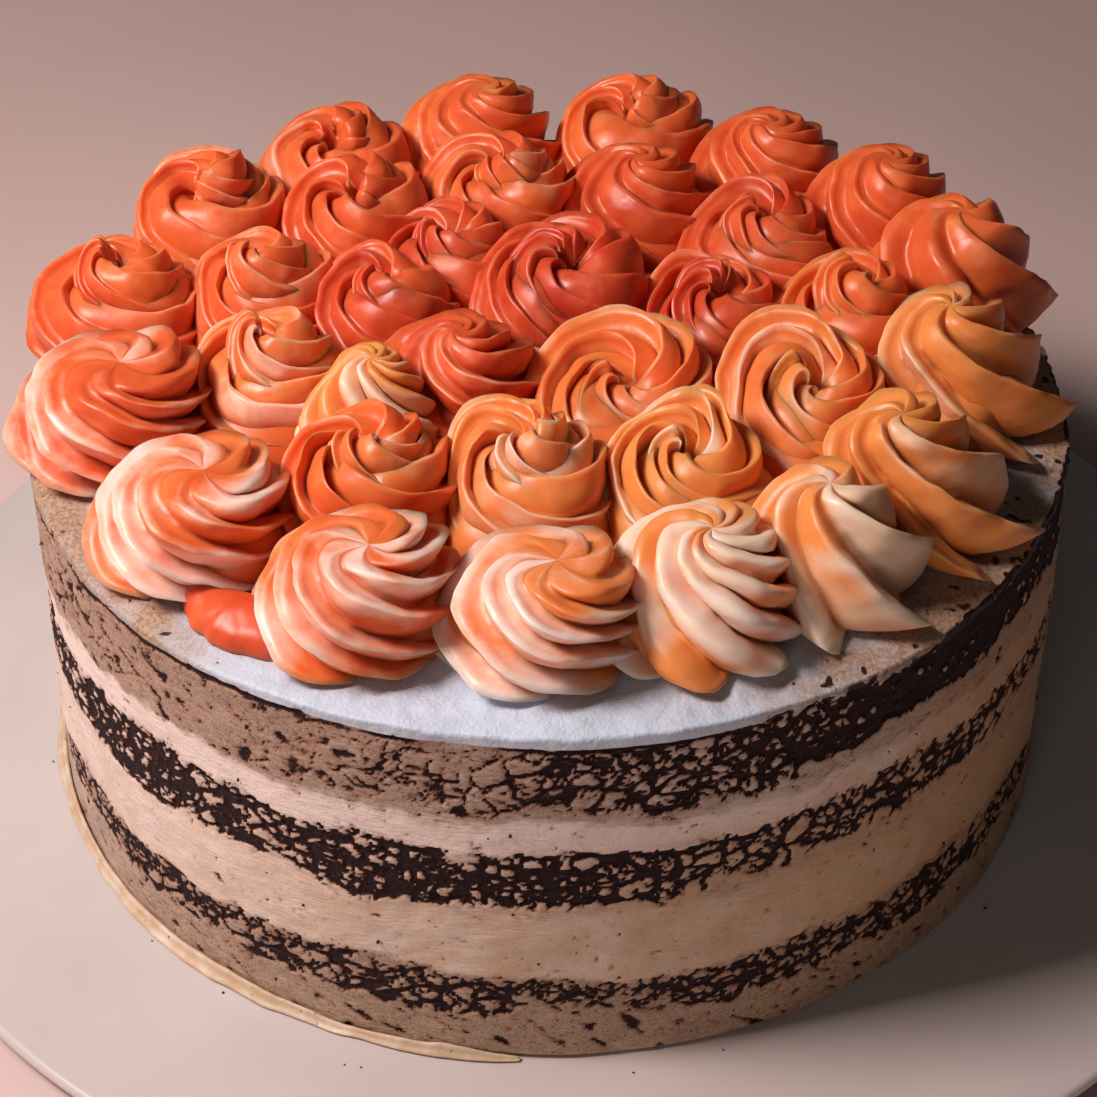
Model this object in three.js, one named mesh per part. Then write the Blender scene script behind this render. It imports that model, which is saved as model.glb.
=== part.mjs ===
// A round three-layer cake on a flat plate, covered with piped buttercream rosettes.
// Millimetres, +Z up, origin under the middle of the plate, the cake's front towards -Y.
import * as THREE from 'three';

// Plate
const PLATE_RADIUS = 152.5;
const PLATE_FOOT_RADIUS = 139;
const PLATE_GAP_UNDER_RIM = 1.7;
const PLATE_TOP = 4.6;
const PLATE_SEGMENTS = 72;

// Cake
const CAKE_RADIUS = 105;
const CAKE_X = -5;
const CAKE_Y = -6.6;
const GAP = 0.3;
const CAKE_BOTTOM = PLATE_TOP + GAP;
const LAYER_SEGMENTS = 72;
const EDGE_ROUNDING = 0.8;
const SIDE_ROUGHNESS = 0.45;

// The borders between the layers, as heights above the cake's bottom
const BORDERS = {
  lowerSponge: 21.5,
  lowerFilling: 38.4,
  middleSponge: 53.7,
  upperFilling: 60.6,
  upperSponge: 79,
};
const CAKE_HEIGHT = 81.9;
const BORDER_WAVE = 0.95;
const TOP_BORDER_WAVE = 0.5;
const TOP_HOLLOW = 0.7;

// Rosettes
const ROSETTE_RIDGES = 6;
const SAMPLES_PER_RIDGE = 3;
const ROSETTE_HEIGHT = 21.5;
const ROSETTE_HEIGHT_SPREAD = 0.12;
const ROSETTE_TWIST = THREE.MathUtils.degToRad(165);
const RIDGE_DEPTH = 0.2;
const ROSETTE_BASE = CAKE_BOTTOM + CAKE_HEIGHT + GAP;
const RIM_OVERHANG = 7.5;

// Every rosette as [bearing in degrees, distance from the cake's middle, half its free width]
const ROSETTE_RINGS = {
  outer: [
    [169, 88, 21], [191, 85, 22], [217, 83, 21], [243, 80, 20.5], [267, 78, 20], [291, 78, 20.5],
    [311, 81, 20], [329, 83, 20], [356, 83, 22], [18, 87, 20], [37, 87, 20], [57, 89, 20],
    [78, 89, 20.5], [100, 89, 20.5], [122, 89, 20.5], [145, 89, 21],
  ],
  middle: [
    [193, 56, 22], [233, 57, 23], [264, 46, 22], [301, 51, 22], [336, 54, 23], [8, 62, 22],
    [42, 61, 22], [72, 60, 22], [100, 59, 22], [130, 63, 21], [160, 63, 21],
  ],
  inner: [
    [310, 24, 23], [207, 20, 22], [80, 21, 23], [22, 37, 21], [122, 40, 21], [153, 37, 20],
    [213, 43, 18.5],
  ],
};

// A smear of icing round part of the foot, from the front round by the left to the back
const FOOT_FROM_DEG = 105;
const FOOT_TO_DEG = 267;
const FOOT_HEIGHT = 4.6;
const FOOT_WIDTH = 3.6;
const FOOT_STEPS = 36;

// A low dollop squeezed out between two rosettes at the front left
const DOLLOP = [232, 94, 14.5];
const DOLLOP_HEIGHT = 9.5;

const COLOURS = {
  plate: 0xe4dcd8,
  sponge: 0x2a1413,
  filling: 0xc9ad92,
  icing: 0xf1e6dd,
  orange: 0xe5703a,
  peach: 0xeeb37a,
  foot: 0xd9b78e,
};

// Seeded random numbers from 0 to 1
function makeRandom(seed) {
  let state = seed;
  return () => {
    state = (state + 0x6d2b79f5) | 0;
    let t = Math.imul(state ^ (state >>> 15), 1 | state);
    t = (t + Math.imul(t ^ (t >>> 7), 61 | t)) ^ t;
    return ((t ^ (t >>> 14)) >>> 0) / 4294967296;
  };
}

function material(colour, roughness) {
  return new THREE.MeshStandardMaterial({ color: colour, roughness, metalness: 0 });
}

// A closed solid from rings of points, lowest first: sides between rings, a fan at each end
function solidFromRings(rings, bottomPoint, topPoint) {
  const count = rings[0].length;
  const positions = [];
  rings.forEach((ring) => ring.forEach((p) => positions.push(p.x, p.y, p.z)));
  positions.push(bottomPoint.x, bottomPoint.y, bottomPoint.z);
  positions.push(topPoint.x, topPoint.y, topPoint.z);
  const bottomIndex = rings.length * count;
  const topIndex = bottomIndex + 1;
  const lastRing = (rings.length - 1) * count;
  const indices = [];
  for (let i = 0; i < count; i += 1) {
    const j = (i + 1) % count;
    indices.push(bottomIndex, j, i);
    indices.push(topIndex, lastRing + i, lastRing + j);
    for (let k = 0; k < rings.length - 1; k += 1) {
      const low = k * count;
      const high = low + count;
      indices.push(low + i, low + j, high + j);
      indices.push(low + i, high + j, high + i);
    }
  }
  const geometry = new THREE.BufferGeometry();
  geometry.setAttribute('position', new THREE.Float32BufferAttribute(positions, 3));
  geometry.setIndex(indices);
  geometry.computeVertexNormals();
  return geometry;
}

function addPiece(group, name, geometry, surface) {
  const mesh = new THREE.Mesh(geometry, surface);
  mesh.name = name;
  group.add(mesh);
  return mesh;
}

// A smooth uneven curve round the cake: three sine waves with seeded phases, from -1 to 1
function makeWave(random, lowest) {
  const phases = [0, 1, 2].map(() => random() * Math.PI * 2);
  return (angle) => (
    Math.sin(lowest * angle + phases[0])
    + 0.7 * Math.sin((2 * lowest + 1) * angle + phases[1])
    + 0.5 * Math.sin((4 * lowest + 1) * angle + phases[2])
  ) / 2.2;
}

function buildPlate(group) {
  const rimMiddle = (PLATE_TOP + PLATE_GAP_UNDER_RIM) / 2;
  const rimRounding = (PLATE_TOP - PLATE_GAP_UNDER_RIM) / 2;
  const profile = [
    new THREE.Vector2(0, 0),
    new THREE.Vector2(PLATE_FOOT_RADIUS, 0),
    new THREE.Vector2(PLATE_FOOT_RADIUS + 0.6, PLATE_GAP_UNDER_RIM),
  ];
  const rimSteps = 4;
  for (let i = 0; i <= rimSteps; i += 1) {
    const angle = -Math.PI / 2 + (Math.PI * i) / rimSteps;
    profile.push(new THREE.Vector2(
      PLATE_RADIUS - rimRounding + rimRounding * Math.cos(angle),
      rimMiddle + rimRounding * Math.sin(angle),
    ));
  }
  profile.push(new THREE.Vector2(0, PLATE_TOP));
  const plate = new THREE.LatheGeometry(profile, PLATE_SEGMENTS);
  plate.rotateX(Math.PI / 2);
  addPiece(group, 'stand_plate', plate, material(COLOURS.plate, 0.25));
}

// One layer between two wavy borders; its side is slightly uneven and its edges are rounded
function layerGeometry(lowBorder, highBorder, sideWave) {
  const ring = (inset, height) => {
    const points = [];
    for (let i = 0; i < LAYER_SEGMENTS; i += 1) {
      const angle = (i / LAYER_SEGMENTS) * Math.PI * 2;
      const radius = CAKE_RADIUS - inset + SIDE_ROUGHNESS * sideWave(angle);
      points.push(new THREE.Vector3(radius * Math.cos(angle), radius * Math.sin(angle), height(angle)));
    }
    return points;
  };
  const rings = [
    ring(EDGE_ROUNDING, (a) => lowBorder.at(a) + GAP / 2),
    ring(0, (a) => lowBorder.at(a) + GAP / 2 + EDGE_ROUNDING),
    ring(0, (a) => highBorder.at(a) - GAP / 2 - EDGE_ROUNDING),
    ring(EDGE_ROUNDING, (a) => highBorder.at(a) - GAP / 2),
  ];
  return solidFromRings(
    rings,
    new THREE.Vector3(0, 0, lowBorder.middle + GAP / 2),
    new THREE.Vector3(0, 0, highBorder.middle - GAP / 2),
  );
}

function buildLayers(cake, random) {
  const flatBorder = (height) => ({ middle: height, at: () => height });
  const wavyBorder = (height, size = BORDER_WAVE) => {
    const wave = makeWave(random, 3);
    return { middle: height, at: (angle) => height + size * wave(angle) };
  };
  const borders = [
    flatBorder(0),
    wavyBorder(BORDERS.lowerSponge),
    wavyBorder(BORDERS.lowerFilling),
    wavyBorder(BORDERS.middleSponge),
    wavyBorder(BORDERS.upperFilling),
    wavyBorder(BORDERS.upperSponge, TOP_BORDER_WAVE),
  ];
  const layers = [
    ['sponge_bottom', COLOURS.sponge],
    ['filling_lower', COLOURS.filling],
    ['sponge_middle', COLOURS.sponge],
    ['filling_upper', COLOURS.filling],
    ['sponge_top', COLOURS.sponge],
  ];
  layers.forEach(([name, colour], i) => {
    const geometry = layerGeometry(borders[i], borders[i + 1], makeWave(random, 4));
    addPiece(cake, name, geometry, material(colour, 0.9)).position.z = CAKE_BOTTOM;
  });
  return borders[borders.length - 1];
}

// The icing on top: its upper face lies lower towards the rim, where it was scraped level
function buildTopIcing(cake, underside, random) {
  const sideWave = makeWave(random, 4);
  const faceWave = makeWave(random, 2);
  const edge = EDGE_ROUNDING;
  const ring = (share, height) => {
    const points = [];
    for (let i = 0; i < LAYER_SEGMENTS; i += 1) {
      const angle = (i / LAYER_SEGMENTS) * Math.PI * 2;
      const radius = share * (CAKE_RADIUS + SIDE_ROUGHNESS * sideWave(angle));
      points.push(new THREE.Vector3(radius * Math.cos(angle), radius * Math.sin(angle), height(angle)));
    }
    return points;
  };
  const rimShare = 1 - edge / CAKE_RADIUS;
  const rimHollow = (angle) => TOP_HOLLOW * (0.55 + 0.45 * faceWave(angle));
  const rings = [
    ring(rimShare, (a) => underside.at(a) + GAP / 2),
    ring(1, (a) => underside.at(a) + GAP / 2 + edge / 2),
    ring(1, (a) => CAKE_HEIGHT - rimHollow(a) - edge),
    ring(rimShare, (a) => CAKE_HEIGHT - rimHollow(a)),
    ring(0.9, () => CAKE_HEIGHT),
  ];
  const geometry = solidFromRings(
    rings,
    new THREE.Vector3(0, 0, underside.middle + GAP / 2),
    new THREE.Vector3(0, 0, CAKE_HEIGHT),
  );
  addPiece(cake, 'icing_top', geometry, material(COLOURS.icing, 0.6)).position.z = CAKE_BOTTOM;
}

function buildFoot(cake, random) {
  const wave = makeWave(random, 5);
  const inner = CAKE_RADIUS + SIDE_ROUGHNESS + GAP;
  const section = (angle, swell) => {
    const width = FOOT_WIDTH * swell * (1 + 0.2 * wave(angle));
    const height = FOOT_HEIGHT * swell * (1 + 0.15 * wave(angle + 1));
    const outline = [
      [0, 0],
      [width, 0],
      [width * 0.9, height * 0.35],
      [width * 0.45, height * 0.8],
      [0, height],
    ];
    return outline.map(([out, up]) => new THREE.Vector3(
      (inner + out) * Math.cos(angle),
      (inner + out) * Math.sin(angle),
      up,
    ));
  };
  const from = THREE.MathUtils.degToRad(FOOT_FROM_DEG);
  const to = THREE.MathUtils.degToRad(FOOT_TO_DEG);
  const rings = [];
  for (let i = 0; i <= FOOT_STEPS; i += 1) {
    const t = i / FOOT_STEPS;
    const taper = Math.min(1, 0.35 + 5 * t, 0.75 + 4 * (1 - t));
    rings.push(section(to + (from - to) * t, taper));
  }
  const centre = (ring) => ring.reduce((sum, p) => sum.add(p), new THREE.Vector3()).divideScalar(ring.length);
  const geometry = solidFromRings(rings, centre(rings[0]), centre(rings[rings.length - 1]));
  addPiece(cake, 'icing_foot', geometry, material(COLOURS.foot, 0.55)).position.z = CAKE_BOTTOM;
}

// The places of all rosettes and the dollop, in the plane of the cake's top
function rosettePlaces() {
  const places = [];
  const addPlace = (name, [bearing, distance, halfWidth], height) => {
    const angle = THREE.MathUtils.degToRad(bearing);
    places.push({ name, x: distance * Math.cos(angle), y: distance * Math.sin(angle), halfWidth, height });
  };
  Object.entries(ROSETTE_RINGS).forEach(([ring, entries]) => {
    entries.forEach((entry, i) => {
      addPlace(`rosette_${ring}_${String(i + 1).padStart(2, '0')}`, entry, ROSETTE_HEIGHT);
    });
  });
  addPlace('dollop', DOLLOP, DOLLOP_HEIGHT);
  return places;
}

// How far a rosette can spread in one direction before it meets a neighbour or the overhang's end
function freeReach(place, places, angle) {
  const dx = Math.cos(angle);
  const dy = Math.sin(angle);
  let reach = place.halfWidth;
  places.forEach((other) => {
    if (other === place) {
      return;
    }
    const ex = other.x - place.x;
    const ey = other.y - place.y;
    const distance = Math.hypot(ex, ey);
    const facing = (dx * ex + dy * ey) / distance;
    if (facing > 0.01) {
      const share = (place.halfWidth ** 2 - other.halfWidth ** 2) / distance;
      reach = Math.min(reach, ((distance + share - GAP) / 2) / facing);
    }
  });
  const outward = place.x * dx + place.y * dy;
  const rim = CAKE_RADIUS + RIM_OVERHANG;
  const toRim = -outward + Math.sqrt(outward ** 2 + rim ** 2 - place.x ** 2 - place.y ** 2);
  return Math.min(reach, toRim);
}

// A swirl: a dome of ridges that wind clockwise towards its point, seen from above
function rosetteGeometry(place, places, random) {
  const height = place.height * (1 + ROSETTE_HEIGHT_SPREAD * (2 * random() - 1));
  const turn = random() * Math.PI * 2;
  const leanAngle = random() * Math.PI * 2;
  const lean = 1.6 * random();
  const count = ROSETTE_RIDGES * SAMPLES_PER_RIDGE;
  const ridgeShape = [-1, 0.75, 0.25];
  const levels = [
    { share: 0.94, up: 0, ridge: 0.25 },
    { share: 1, up: 0.15, ridge: 0.5 },
    { share: 0.96, up: 0.36, ridge: 0.9 },
    { share: 0.82, up: 0.57, ridge: 1.1 },
    { share: 0.6, up: 0.76, ridge: 1.3 },
    { share: 0.36, up: 0.9, ridge: 1.4 },
    { share: 0.13, up: 0.985, ridge: 0.8 },
  ];
  const rings = levels.map(({ share, up, ridge }) => {
    const points = [];
    for (let i = 0; i < count; i += 1) {
      const angle = turn + (i / count) * Math.PI * 2 - ROSETTE_TWIST * (1 - share);
      const depth = RIDGE_DEPTH * ridge * (1 - ridgeShape[i % SAMPLES_PER_RIDGE]) * 0.5;
      const radius = freeReach(place, places, angle) * share * (1 - depth);
      const shift = lean * up * up * (1 - share);
      points.push(new THREE.Vector3(
        radius * Math.cos(angle) + shift * Math.cos(leanAngle),
        radius * Math.sin(angle) + shift * Math.sin(leanAngle),
        height * up,
      ));
    }
    return points;
  });
  const point = new THREE.Vector3(lean * Math.cos(leanAngle), lean * Math.sin(leanAngle), height * 1.03);
  return solidFromRings(rings, new THREE.Vector3(0, 0, 0), point);
}

function buildRosettes(cake, random) {
  const places = rosettePlaces();
  places.forEach((place) => {
    const geometry = rosetteGeometry(place, places, random);
    const towardsRight = (place.x - place.y) / (2 * CAKE_RADIUS);
    const colour = new THREE.Color(COLOURS.orange);
    colour.lerp(new THREE.Color(COLOURS.peach), THREE.MathUtils.clamp(0.3 + towardsRight, 0, 1));
    const mesh = addPiece(cake, place.name, geometry, material(colour, 0.45));
    mesh.position.set(place.x, place.y, ROSETTE_BASE);
  });
}

const SEED = 20417;
const random = makeRandom(SEED);
const part = new THREE.Group();
buildPlate(part);
const cake = new THREE.Group();
cake.position.set(CAKE_X, CAKE_Y, 0);
part.add(cake);
const topBorder = buildLayers(cake, random);
buildTopIcing(cake, topBorder, random);
buildFoot(cake, random);
buildRosettes(cake, random);

export default part;
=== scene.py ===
"""A three-layer cake with piped buttercream rosettes on a flat plate, dressed around its CAD frame.

Lengths in this script are millimetres until make_mesh() turns them into metres.
"""

import math

import bpy
import numpy as np
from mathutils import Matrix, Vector


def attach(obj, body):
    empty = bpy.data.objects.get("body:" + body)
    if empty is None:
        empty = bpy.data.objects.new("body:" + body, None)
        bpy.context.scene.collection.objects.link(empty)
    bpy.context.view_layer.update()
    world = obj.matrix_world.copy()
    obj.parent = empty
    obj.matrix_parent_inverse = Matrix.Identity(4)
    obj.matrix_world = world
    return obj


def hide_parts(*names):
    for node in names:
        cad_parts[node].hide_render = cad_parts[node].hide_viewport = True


TAU = 2 * math.pi
METRES = 0.001

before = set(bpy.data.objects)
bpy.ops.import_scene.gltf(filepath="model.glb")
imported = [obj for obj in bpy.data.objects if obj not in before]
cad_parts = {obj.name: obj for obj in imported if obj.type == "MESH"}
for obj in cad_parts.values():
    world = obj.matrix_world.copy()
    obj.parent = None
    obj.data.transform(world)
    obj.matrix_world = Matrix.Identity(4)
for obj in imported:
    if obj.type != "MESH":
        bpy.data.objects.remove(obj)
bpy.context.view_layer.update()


# Places taken from the frame

def node_points(name):
    """The CAD node's vertices in millimetres."""
    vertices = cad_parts[name].data.vertices
    points = np.zeros(len(vertices) * 3)
    vertices.foreach_get("co", points)
    return points.reshape(-1, 3) / METRES


icing_points = node_points("icing_top")
CAKE_X, CAKE_Y = (icing_points.min(0)[:2] + icing_points.max(0)[:2]) / 2
CAKE_RADIUS = (icing_points.max(0)[0] - icing_points.min(0)[0]) / 2
CAKE_TOP = icing_points.max(0)[2]
CAKE_BOTTOM = node_points("sponge_bottom").min(0)[2]
PLATE_TOP = node_points("stand_plate").max(0)[2]
PLATE_RADIUS = node_points("stand_plate").max(0)[0]
ROSETTE_BASE = CAKE_TOP + 0.1
# Points of a layer farther out than this share of the cake's radius lie on its side
SIDE_SHARE = 0.97


def smooth(x, low, high):
    """0 below low, 1 above high, and a soft step between them."""
    t = np.clip((np.asarray(x, float) - low) / (high - low), 0, 1)
    return t * t * (3 - 2 * t)


def place_by_cake(radius, bearing, height):
    """Points at a radius and a bearing in radians from the cake's middle line, at a height."""
    return np.stack([CAKE_X + radius * np.cos(bearing), CAKE_Y + radius * np.sin(bearing), height], -1)


def border(name, upper):
    """A layer's upper or lower border round the cake: a function of the bearing in radians."""
    points = node_points(name) - [CAKE_X, CAKE_Y, 0]
    bearing = np.arctan2(points[:, 1], points[:, 0]) % TAU
    near_side = np.hypot(points[:, 0], points[:, 1]) > CAKE_RADIUS * SIDE_SHARE
    slots = 72
    slot_of = np.round(bearing / TAU * slots).astype(int) % slots
    heights = []
    for i in range(slots):
        z = points[near_side & (slot_of == i), 2]
        heights.append(z.max() if upper else z.min())
    angles = np.arange(slots + 1) * TAU / slots
    heights.append(heights[0])
    return lambda a: np.interp(np.asarray(a) % TAU, angles, heights)


# Noise

def value_noise(points, seed):
    """Smooth noise from -1 to 1 at an array of 3D points, one lattice cell per unit."""
    table = np.random.default_rng(seed).uniform(-1, 1, 4096)
    cell = np.floor(points).astype(int)
    part = points - cell
    part = part * part * (3 - 2 * part)
    total = np.zeros(len(points))
    for corner in range(8):
        step = np.array([corner & 1, (corner >> 1) & 1, corner >> 2])
        at = cell + step
        key = (at[:, 0] * 73856093) ^ (at[:, 1] * 19349663) ^ (at[:, 2] * 83492791)
        weight = np.prod(np.where(step == 1, part, 1 - part), axis=1)
        total += weight * table[key % 4096]
    return total


def fractal(points, size, seed, octaves=3):
    """Several octaves of value_noise; size is the largest feature in the points' own units."""
    total, share = np.zeros(len(points)), 1.0
    for i in range(octaves):
        total += share * value_noise(points * (2 ** i / size) + 17.3 * i, seed + i)
        share *= 0.5
    return total


def crack_distance(along, up, cell_along, cell_up, length_round, seed):
    """How far a point on the side is from the nearest border between irregular patches."""
    count = max(3, int(round(length_round / cell_along)))
    table = np.random.default_rng(seed).uniform(0.08, 0.92, (4096, 2))
    ga, gu = along / length_round * count, up / cell_up
    ia, iu = np.floor(ga).astype(int), np.floor(gu).astype(int)
    nearest, second = np.full(len(along), 99.0), np.full(len(along), 99.0)
    for da in (-1, 0, 1):
        for du in (-1, 0, 1):
            ca, cu = ia + da, iu + du
            jitter = table[(((ca % count) * 7349) ^ (cu * 1931)) % 4096]
            distance = np.hypot((ca + jitter[:, 0] - ga) * cell_along, (cu + jitter[:, 1] - gu) * cell_up)
            second = np.minimum(second, np.maximum(distance, nearest))
            nearest = np.minimum(nearest, distance)
    return second - nearest


# Meshes

def encloses(points, faces):
    """True if the faces of a closed mesh point outwards: the volume inside them is positive."""
    corners = np.array([[f[0], f[k], f[k + 1]] for f in faces for k in range(1, len(f) - 1)])
    a, b, c = (points[corners[:, k]] for k in range(3))
    return float((a * np.cross(b, c)).sum()) > 0


def make_mesh(name, points, faces, attributes=None, material=None, replaces=(), crease=()):
    """A smooth shaded piece, from points in millimetres. Edges between two points of crease stay sharp."""
    mesh = bpy.data.meshes.new(name)
    points = np.asarray(points, float)
    if not encloses(points, faces):
        faces = [face[::-1] for face in faces]
    mesh.from_pydata((points * METRES).tolist(), [], faces)
    for key, values in (attributes or {}).items():
        layer = mesh.attributes.new(key, "FLOAT", "POINT")
        layer.data.foreach_set("value", np.asarray(values, np.float32).ravel())
    mesh.polygons.foreach_set("use_smooth", [True] * len(mesh.polygons))
    if len(crease):
        marked = np.zeros(len(mesh.vertices), bool)
        marked[list(crease)] = True
        ends = np.zeros(len(mesh.edges) * 2, int)
        mesh.edges.foreach_get("vertices", ends)
        layer = mesh.attributes.new("sharp_edge", "BOOLEAN", "EDGE")
        layer.data.foreach_set("value", marked[ends.reshape(-1, 2)].all(1))
    mesh.update()
    piece = bpy.data.objects.new(name, mesh)
    bpy.context.scene.collection.objects.link(piece)
    if material:
        mesh.materials.append(material)
    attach(piece, "root")
    if replaces:
        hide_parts(*replaces)
    return piece


def ring_faces(rows, count, offset=0):
    """Faces of a closed tube: rows of count points, then the first and the last end's middle."""
    i, j = np.meshgrid(np.arange(rows - 1), np.arange(count), indexing="ij")
    k = (j + 1) % count
    quads = np.stack([i * count + j, i * count + k, (i + 1) * count + k, (i + 1) * count + j], -1)
    faces = (quads.reshape(-1, 4) + offset).tolist()
    first, last = rows * count + offset, rows * count + 1 + offset
    for j in range(count):
        k = (j + 1) % count
        faces.append([k + offset, j + offset, first])
        faces.append([(rows - 1) * count + j + offset, (rows - 1) * count + k + offset, last])
    return faces


def with_ends(values):
    """Row by row values of a tube as one list, with its two end middles appended."""
    flat = values.reshape(-1, *values.shape[2:])
    return np.concatenate([flat, values[0].mean(0)[None], values[-1].mean(0)[None]])


# Materials

def srgb(red, green, blue):
    """A colour given as 0 to 255, in Blender's linear values."""
    def linear(c):
        c /= 255
        return c / 12.92 if c <= 0.04045 else ((c + 0.055) / 1.055) ** 2.4
    return (linear(red), linear(green), linear(blue), 1.0)


class Surface:
    """A material under construction, with one short call for each kind of node."""

    def __init__(self, name, **shader_values):
        self.material = bpy.data.materials.new(name)
        self.material.use_nodes = True
        self.tree = self.material.node_tree
        self.shader = self.tree.nodes["Principled BSDF"]
        for key, value in shader_values.items():
            self.shader.inputs[key.replace("_", " ")].default_value = value

    def put(self, socket, value):
        """Link a node's output to the socket, or set the socket to a plain value."""
        if isinstance(value, bpy.types.NodeSocket):
            self.tree.links.new(value, socket)
        else:
            socket.default_value = value

    def set(self, name, value):
        self.put(self.shader.inputs[name], value)

    def place(self):
        return self.tree.nodes.new("ShaderNodeTexCoord").outputs["Object"]

    def stretch(self, vector, x, y, z):
        """The vector scaled along each axis: a larger number makes noise finer that way."""
        mapping = self.tree.nodes.new("ShaderNodeMapping")
        mapping.inputs["Scale"].default_value = (x, y, z)
        self.put(mapping.inputs["Vector"], vector)
        return mapping.outputs["Vector"]

    def attribute(self, name):
        node = self.tree.nodes.new("ShaderNodeAttribute")
        node.attribute_name = name
        return node.outputs["Fac"]

    def noise(self, size, detail=3.0, roughness=0.55, vector=None):
        """Noise with features of about size millimetres."""
        node = self.tree.nodes.new("ShaderNodeTexNoise")
        self.put(node.inputs["Vector"], vector or self.place())
        node.inputs["Scale"].default_value = 1 / (size * METRES)
        node.inputs["Detail"].default_value = detail
        node.inputs["Roughness"].default_value = roughness
        return node.outputs["Fac"]

    def ramp(self, value, *stops):
        """A colour that changes with value through (position, colour) stops."""
        node = self.tree.nodes.new("ShaderNodeValToRGB")
        self.put(node.inputs["Fac"], value)
        marks = node.color_ramp.elements
        while len(marks) < len(stops):
            marks.new(0.5)
        for mark, (position, colour) in zip(marks, stops):
            mark.position, mark.color = position, colour
        return node.outputs["Color"]

    def math(self, operation, a, b=0.0):
        node = self.tree.nodes.new("ShaderNodeMath")
        node.operation = operation
        self.put(node.inputs[0], a)
        self.put(node.inputs[1], b)
        return node.outputs[0]

    def vary(self, value, noise, amount):
        """value, raised and lowered by noise: by half of amount at most."""
        return self.math("ADD", value, self.math("MULTIPLY", self.math("SUBTRACT", noise, 0.5), amount))

    def step(self, value, low, high, to_low=0.0, to_high=1.0):
        """A soft step from to_low, where value is low, to to_high, where it is high."""
        node = self.tree.nodes.new("ShaderNodeMapRange")
        node.interpolation_type = "SMOOTHSTEP"
        self.put(node.inputs["Value"], value)
        for key, number in (("From Min", low), ("From Max", high), ("To Min", to_low), ("To Max", to_high)):
            node.inputs[key].default_value = number
        return node.outputs["Result"]

    def mix(self, share, a, b):
        """Colour a where share is 0 and b where it is 1."""
        node = self.tree.nodes.new("ShaderNodeMix")
        node.data_type = "RGBA"
        node.clamp_factor = True
        self.put(node.inputs[0], share)
        self.put(node.inputs[6], a)
        self.put(node.inputs[7], b)
        return node.outputs[2]

    def bump(self, height, depth, normal=None):
        """Relief depth millimetres high."""
        node = self.tree.nodes.new("ShaderNodeBump")
        node.inputs["Distance"].default_value = depth * METRES
        self.put(node.inputs["Height"], height)
        if normal:
            self.put(node.inputs["Normal"], normal)
        return node.outputs["Normal"]


def side_material():
    """Thin cream over dark crumb. The mesh says how bare the crumb is, how thin the cream, and how white it
    is: whiter on the side the key light falls on, which is painted light.
    """
    s = Surface("scraped_side", Specular_IOR_Level=0.35)
    fine = s.noise(0.5, 3, 0.6)
    broad = s.noise(9, 3)
    drag = s.noise(3, 3, 0.65, s.stretch(s.place(), 1, 1, 5))
    bare = s.vary(s.attribute("bare"), fine, 0.7)
    stained = s.step(bare, -0.4, 0.0)
    bare = s.step(bare, -0.10, 0.10)
    thin = s.step(s.vary(s.vary(s.attribute("thin"), broad, 0.6), drag, 0.9), 0.1, 1.0)
    # Whiter cream where the mesh says so; the whiteness is partly painted light, whiter toward the key light.
    painted_light_whiteness = s.vary(s.attribute("painted_light_whiteness"), broad, 0.8)
    cream = s.mix(s.step(painted_light_whiteness, 0.0, 1.0), srgb(198, 162, 124), srgb(238, 224, 218))
    film = s.mix(s.step(fine, 0.3, 0.7), srgb(120, 92, 72), srgb(186, 158, 134))
    cream = s.mix(s.math("MULTIPLY", thin, 0.9), cream, film)
    speck = s.math("MULTIPLY", s.step(s.noise(0.9, 2), 0.62, 0.70), s.step(thin, 0.1, 0.9))
    cream = s.mix(s.math("MULTIPLY", speck, 0.8), cream, srgb(74, 44, 38))
    cream = s.mix(s.math("MULTIPLY", stained, 0.6), cream, srgb(152, 92, 68))
    grain = s.noise(0.8, 3, 0.7)
    crumb = s.mix(s.step(grain, 0.35, 0.72), srgb(14, 5, 8), srgb(56, 22, 24))
    s.set("Base Color", s.mix(bare, cream, crumb))
    s.set("Roughness", s.step(bare, 0.0, 1.0, 0.46, 0.8))
    rough_crumb = s.math("MULTIPLY", grain, bare)
    s.set("Normal", s.bump(rough_crumb, 0.5, s.bump(drag, 0.25, s.bump(s.noise(1.6, 3), 0.12))))
    return s.material


def icing_material():
    """The white icing on top, with tool marks and pits; where it is thin the crumb below browns it."""
    s = Surface("top_icing", Specular_IOR_Level=0.4)
    fine = s.noise(0.8, 4, 0.6)
    broad = s.noise(7, 3)
    base = s.mix(s.step(broad, 0.3, 0.7), srgb(190, 206, 224), srgb(204, 220, 244))
    film = s.mix(s.step(fine, 0.3, 0.7), srgb(126, 94, 66), srgb(186, 152, 118))
    thin = s.vary(s.attribute("thin"), broad, 0.9)
    base = s.mix(s.math("MULTIPLY", s.step(thin, 0.15, 0.95), 0.92), base, film)
    bare = s.vary(s.attribute("bare"), fine, 0.7)
    bare = s.step(bare, -0.10, 0.10)
    s.set("Base Color", s.mix(bare, base, srgb(40, 18, 18)))
    s.set("Roughness", s.step(fine, 0.3, 0.7, 0.4, 0.62))
    s.set("Normal", s.bump(fine, 0.25, s.bump(s.noise(3, 3), 0.35)))
    return s.material


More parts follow.
